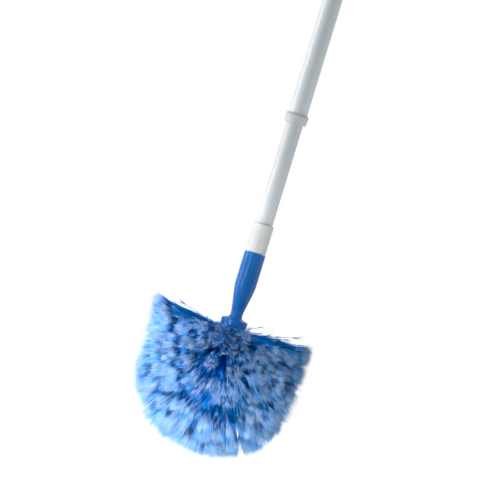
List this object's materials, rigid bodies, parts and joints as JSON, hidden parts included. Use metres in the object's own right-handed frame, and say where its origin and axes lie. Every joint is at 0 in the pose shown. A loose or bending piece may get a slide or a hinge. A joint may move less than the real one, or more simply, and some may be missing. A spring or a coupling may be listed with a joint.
{
  "type": "cobweb brush",
  "caption": "Domed bristle cobweb brush that screws onto a telescopic twist-lock pole, for dusting ceilings and high corners.",
  "frame": {"origin": "middle of the hanging hole in the cap at the top of the pole", "axes": "+Z along the pole towards its hanging end, so the brush head is at -Z; +Y along the hanging hole"},
  "size_m": [0.214, 0.2146, 1.1692],
  "materials": {
    "white_enamel": "gloss",
    "white_plastic": "satin",
    "blue_grip": "matte",
    "blue_plastic": "satin",
    "zinc_steel": "satin",
    "grey_plastic": "matte",
    "nylon": "matte",
    "blue_bristle": "matte"
  },
  "bodies": {
    "outer_pole": {"outer_tube": "white_enamel", "guide_collar": "white_plastic", "hand_grip": "blue_grip", "hang_cap": "blue_plastic", "cap_pin": "zinc_steel"},
    "expander": {"expander_sleeve": "nylon"},
    "cone": {"lock_cone": "grey_plastic"},
    "inner_pole": {"inner_tube": "white_enamel", "pole_tip": "white_plastic", "tip_screw": "zinc_steel", "end_plug": "grey_plastic", "plug_pin": "zinc_steel", "lock_stud": "zinc_steel", "lock_washer": "zinc_steel", "stop_nut": "zinc_steel"},
    "brush_head": {"socket_neck": "blue_plastic", "neck_screw": "zinc_steel", "screw_washer": "zinc_steel", "brush_block": "blue_plastic", "tuft_anchors": "zinc_steel", "tuft_row_1": "blue_bristle", "tuft_row_2": "blue_bristle", "tuft_row_3": "blue_bristle", "tuft_row_4": "blue_bristle", "tuft_row_5": "blue_bristle", "tuft_row_6": "blue_bristle", "tuft_row_7": "blue_bristle", "tuft_row_8": "blue_bristle", "tuft_row_9": "blue_bristle", "tuft_crown": "blue_bristle"}
  },
  "joints": [
    {"name": "pole_slide", "type": "slide", "parent": "outer_pole", "child": "expander", "axis": [0, 0, -1], "range_m": [-0.135, 0.36]},
    {"name": "twist_lock", "type": "hinge", "parent": "expander", "child": "inner_pole", "pos_m": [0, 0, -0.2445], "axis": [0, 0, 1], "range_deg": [-270, 0]},
    {"name": "cone_travel", "type": "slide", "parent": "expander", "child": "cone", "axis": [0, 0, 1], "range_m": [0, 0.0031]},
    {"name": "head_off", "type": "slide", "parent": "inner_pole", "child": "brush_head", "axis": [0, 0, -1], "range_m": [0, 0.045]}
  ],
  "couplings": [
    {"joint": "cone_travel", "follows": "twist_lock", "m_per_rad": -0.00063662}
  ]
}
